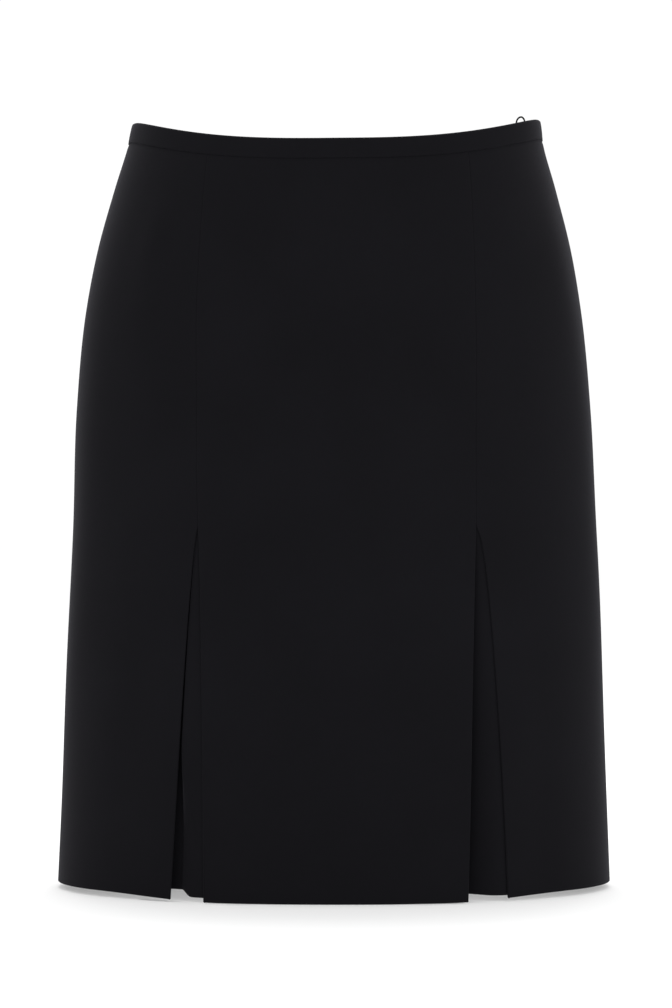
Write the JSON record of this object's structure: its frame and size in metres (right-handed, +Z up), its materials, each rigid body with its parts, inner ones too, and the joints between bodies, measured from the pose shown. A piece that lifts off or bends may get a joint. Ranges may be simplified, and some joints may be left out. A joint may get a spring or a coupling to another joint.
{
  "type": "pencil skirt",
  "caption": "Knee-length pencil skirt filled out as worn, with a narrow waistband, opening front pleats over underlays and a concealed back zip.",
  "frame": {"origin": "centre of the waist opening, level with the waist edge at the sides", "axes": "+Z up along the body, +X towards the wearer's left, -Y the way the front faces"},
  "size_m": [0.3937, 0.2489, 0.5452],
  "materials": {
    "suiting": "smooth matt black suiting with a faint soft sheen",
    "zip_tape": "black woven tape",
    "zip_metal": "black lacquer",
    "loop_cord": "black braided cord"
  },
  "bodies": {
    "skirt": {"front_panel_centre": "suiting", "front_panel_left": "suiting", "front_panel_right": "suiting", "pleat_underlay_left": "suiting", "pleat_underlay_right": "suiting", "back_panel_left": "suiting", "back_panel_right": "suiting", "waistband_front": "suiting", "waistband_back_left": "suiting", "waistband_back_right": "suiting", "zip_tape_left": "zip_tape", "zip_tape_right": "zip_tape", "zip_slider": "zip_metal", "hanger_loop": "loop_cord"},
    "zip_pull": {"zip_pull": "zip_metal"}
  },
  "joints": [
    {"name": "zip_pull_hinge", "type": "hinge", "parent": "skirt", "child": "zip_pull", "pos_m": [0.00127, 0.10903, -0.0115], "axis": [1, 0, 0], "range_deg": [0, 165]}
  ]
}
